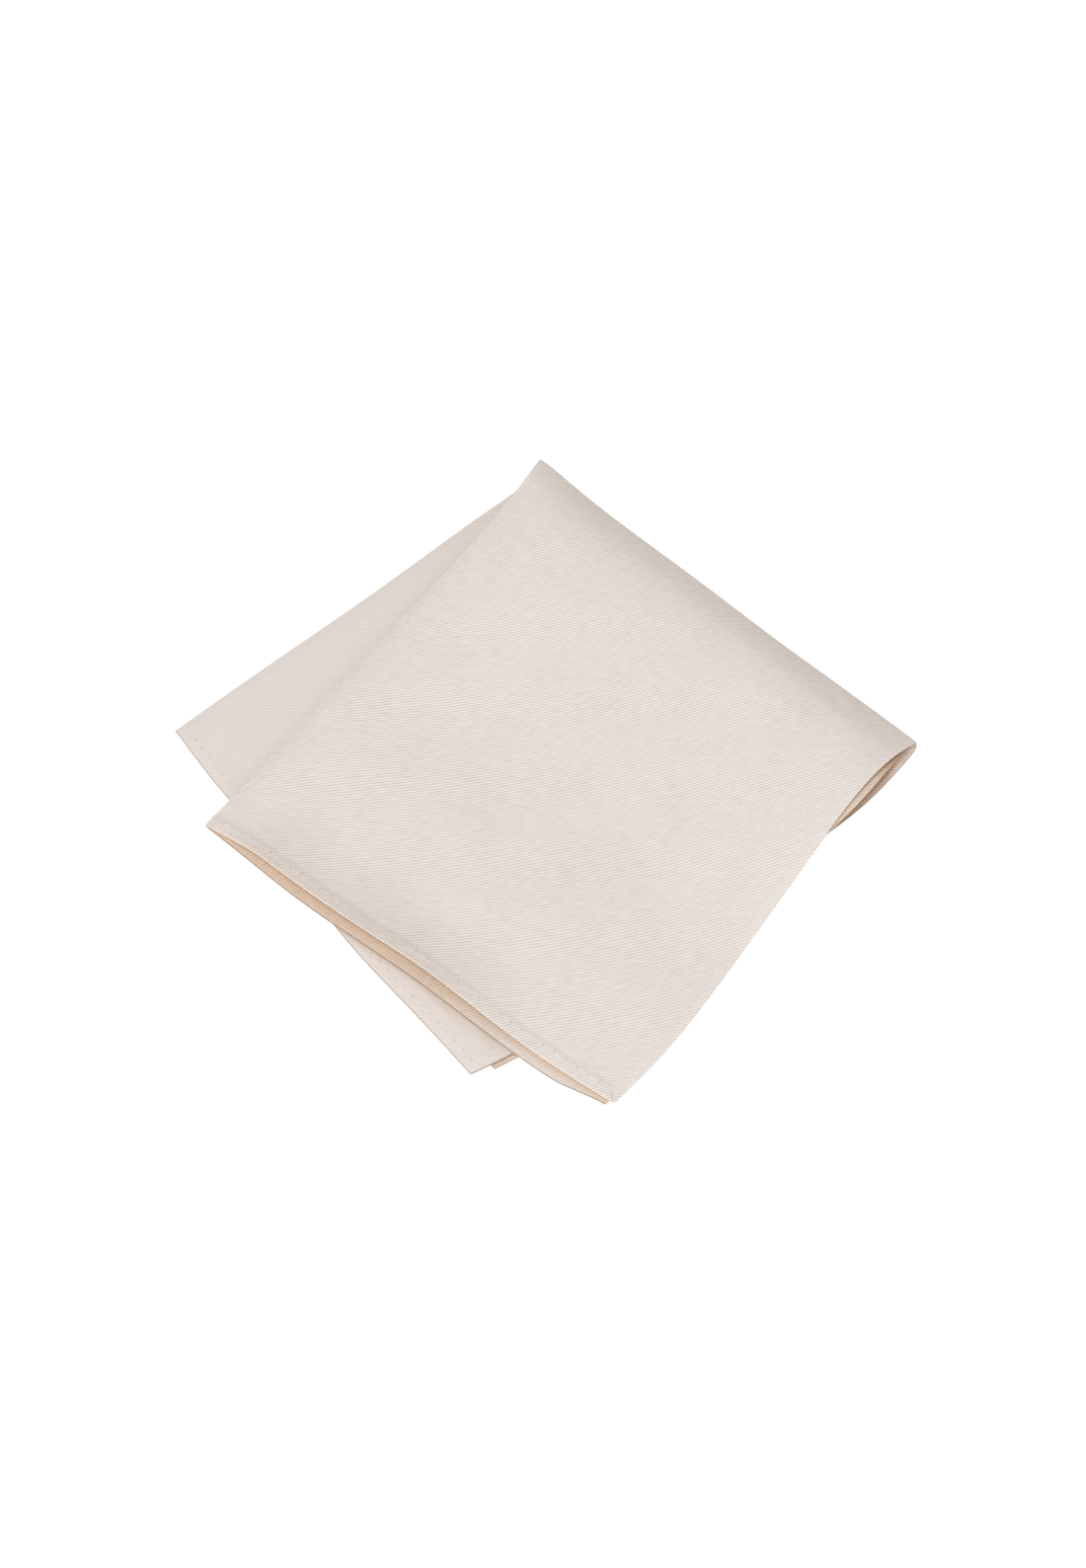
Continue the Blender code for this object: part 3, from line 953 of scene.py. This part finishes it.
def map_values(tree, name):
    """The two numbers that a named map holds at each point of the cloth."""
    source = tree.nodes.new("ShaderNodeUVMap")
    source.uv_map = name
    return split(tree, source.outputs["UV"])[:2]


def coordinates(tree, name):
    return split(tree, tree.nodes.new("ShaderNodeTexCoord").outputs[name])


def painted_gap_shade(tree, colour, open_share):
    """Painted shade: a colour that deepens where the leaves over it leave little open sky."""
    hidden = compute(tree, "MAXIMUM", minus(tree, 1.0, open_share), 0.0)
    mix = tree.nodes.new("ShaderNodeMix")
    mix.data_type = "RGBA"
    mix.blend_type = "MULTIPLY"
    own, deepened = [socket for socket in mix.inputs if socket.type == "RGBA"]
    tree.links.new(compute(tree, "POWER", hidden, GAP_SHADE_SPREAD), mix.inputs["Factor"])
    tree.links.new(colour, own)
    deepened.default_value = (*GAP_SHADE_COLOUR, 1.0)
    return [socket for socket in mix.outputs if socket.type == "RGBA"][0]


def thread_places(tree, line, run, width):
    """Places across each of the two crossing sets of threads, pi from one thread to the next."""
    scale = pi / width / sqrt(2)
    return times(tree, plus(tree, line, run), scale), times(tree, minus(tree, run, line), scale)


def thread_height(tree, across_thread):
    return compute(tree, "ABSOLUTE", compute(tree, "COSINE", across_thread))


def twill_material(name, colours):
    """Diagonal lines of floats over two crossing sets of threads."""
    material, tree, shader = new_material(name)
    line, run = map_values(tree, "weave")
    open_share, plain = map_values(tree, "openness")
    drift = minus(tree, noise(tree, "line drift", line, run), 0.5)
    swayed = plus(tree, line, times(tree, drift, DRIFT))
    wave = compute(tree, "COSINE", times(tree, swayed, 2 * pi / TWILL_PITCH))
    rib = compute(tree, "POWER", plus(tree, times(tree, wave, 0.5), 0.5), RIB_ROUNDNESS)
    warp_place, weft_place = thread_places(tree, swayed, run, TWILL_PITCH * sqrt(2) / 4)
    warp = compute(tree, "POWER", thread_height(tree, warp_place), FLOAT_ROUNDNESS)
    weft = compute(tree, "POWER", thread_height(tree, weft_place), FLOAT_ROUNDNESS)
    on_line = plus(tree, times(tree, warp, WARP_RELIEF), 1 - WARP_RELIEF)
    relief = blend_numbers(tree, rib, times(tree, weft, WEFT_RELIEF), on_line)
    streaks = times(tree, noise(tree, "streaks", swayed, run), STREAKS)
    slubs = times(tree, noise(tree, "slubs", warp_place, weft_place), SLUBS)
    yarns = times(tree, plus(tree, streaks, slubs), YARN_TONE)
    cloud = times(tree, noise(tree, "cloud", line, run), CLOUD_TONE)
    # The grooves between the lines are painted darker, as shade; the yarns and the cloud are the cloth's
    # own uneven tone
    tone = plus(tree, plus(tree, times(tree, relief, WEAVE_SHADE_TONE), yarns), cloud)
    tone = blend_numbers(tree, plain, MEAN_TONE, tone)
    colour = painted_gap_shade(tree, ramp(tree, tone, colours, *TWILL_RANGE), open_share)
    roughness = blend_numbers(tree, relief, *TWILL_ROUGHNESS)
    normal = bump(tree, times(tree, relief, plain), TWILL_BUMP, TWILL_DEPTH)
    finish_shader(tree, shader, colour, roughness, normal)
    set_constants(shader, TWILL_FINISH)
    let_through(tree, shader)
    return material


def back_material(name, colours):
    """The smooth side, where the floats lie under the surface and only fine threads show."""
    material, tree, shader = new_material(name)
    line, run = map_values(tree, "weave")
    open_share = map_values(tree, "openness")[0]
    first, second = thread_places(tree, line, run, BACK_THREAD)
    threads = times(tree, thread_height(tree, first), thread_height(tree, second))
    cloud = noise(tree, "back cloud", line, run)
    # Painted shade: the colour is darker between the threads, where the bump is low
    tone = blend_numbers(tree, BACK_CLOUD, threads, cloud)
    colour = painted_gap_shade(tree, ramp(tree, tone, colours, *BACK_RANGE), open_share)
    smooth, rough = BACK_ROUGHNESS
    roughness = plus(tree, times(tree, cloud, rough - smooth), smooth)
    finish_shader(tree, shader, colour, roughness, bump(tree, threads, FINE_BUMP, FINE_DEPTH))
    set_constants(shader, BACK_FINISH)
    let_through(tree, shader)
    return material


def sewing_material(name, colours):
    """Sewing thread: two plies wound round each other, darker between them, and darker than the cloth,
    painted shade of the stitch holes.
    """
    material, tree, shader = new_material(name)
    x, y = coordinates(tree, "Object")[:2]
    along = plus(tree, x, times(tree, y, PLY_SLANT))
    ply = compute(tree, "ABSOLUTE", compute(tree, "SINE", times(tree, along, pi / PLY_LENGTH)))
    colour = ramp(tree, ply, colours, *WHOLE_RANGE)
    roughness = blend_numbers(tree, ply, *SEWING_ROUGHNESS)
    finish_shader(tree, shader, colour, roughness, bump(tree, ply, FINE_BUMP, FINE_DEPTH))
    return material


def floor_material(name, colours):
    material, tree, shader = new_material(name)
    x, y = coordinates(tree, "Object")[:2]
    colour = ramp(tree, noise(tree, "floor cloud", x, y), colours, *WHOLE_RANGE)
    tree.links.new(colour, shader.inputs["Base Color"])
    set_constants(shader, FLOOR_FINISH)
    return material


def look_at(thing, target):
    thing.rotation_euler = (target - thing.location).to_track_quat("-Z", "Y").to_euler()


def add_camera():
    data = bpy.data.cameras.new("camera")
    data.lens = CAMERA_LENS
    data.sensor_width = CAMERA_SENSOR
    data.clip_start = CAMERA_CLIP
    camera = bpy.data.objects.new("camera", data)
    rise = radians(CAMERA_ELEVATION)
    camera.location = AIM + CAMERA_DISTANCE * Vector((0.0, -cos(rise), sin(rise)))
    look_at(camera, AIM)
    bpy.context.scene.collection.objects.link(camera)
    bpy.context.scene.camera = camera


def add_key_light():
    data = bpy.data.lights.new("key", "AREA")
    data.shape = "DISK"
    data.size = KEY_SIZE
    data.energy = KEY_POWER
    data.color = KEY_COLOUR
    light = bpy.data.objects.new("key", data)
    light.location = KEY_PLACE
    look_at(light, Vector((0.0, 0.0, 0.0)))
    bpy.context.scene.collection.objects.link(light)


def add_sky():
    """Warm even light from all round, and more of it from low down on the left."""
    world = bpy.data.worlds.new("studio")
    world.use_nodes = True
    tree = world.node_tree
    background = tree.nodes["Background"]
    background.inputs["Color"].default_value = (*SKY_COLOUR, 1.0)
    x, y, z = coordinates(tree, "Generated")
    low = compute(tree, "POWER", minus(tree, 1.0, compute(tree, "ABSOLUTE", z)), GLOW_POWER)
    towards = plus(tree, times(tree, x, GLOW_FROM[0]), times(tree, y, GLOW_FROM[1]))
    lit = plus(tree, times(tree, towards, 0.5), 0.5)
    glow = times(tree, times(tree, low, lit), HORIZON_GLOW)
    tree.links.new(plus(tree, glow, SKY_LIGHT), background.inputs["Strength"])
    bpy.context.scene.world = world
    bpy.context.scene.view_settings.view_transform = "Standard"


def add_floor():
    corners = [Vector((x * FLOOR_HALF, y * FLOOR_HALF, 0)) for x, y in ((-1, -1), (1, -1), (1, 1), (-1, 1))]
    ground = add_mesh("floor", corners, [[0, 1, 2, 3]])
    ground.data.materials.append(floor_material("pale_floor", FLOOR_COLOURS))


def move_with_solid(piece):
    """Move a piece as the solid was moved, when its box was centred over the origin."""
    for vertex in piece.data.vertices:
        vertex.co -= SOLID_MIDDLE


add_camera()
add_sky()
add_key_light()
add_floor()
face = twill_material("ivory_twill_face", FACE_COLOURS)
back = back_material("ivory_twill_back", BACK_WARM_SHADE_COLOURS)
sewing = sewing_material("hem_thread_shaded", SEWING_SHADE_COLOURS)
# the rims' material: the twill in darker colours, painted shade
edge = twill_material("ivory_twill_rim_shade", SHADED_RIM_COLOURS)
cloth = make_cloth((face, back, edge))
stitches = make_stitches(sewing)
for thing in (cloth, stitches):
    move_with_solid(thing)
    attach(thing, "root")
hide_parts("pocket_square")
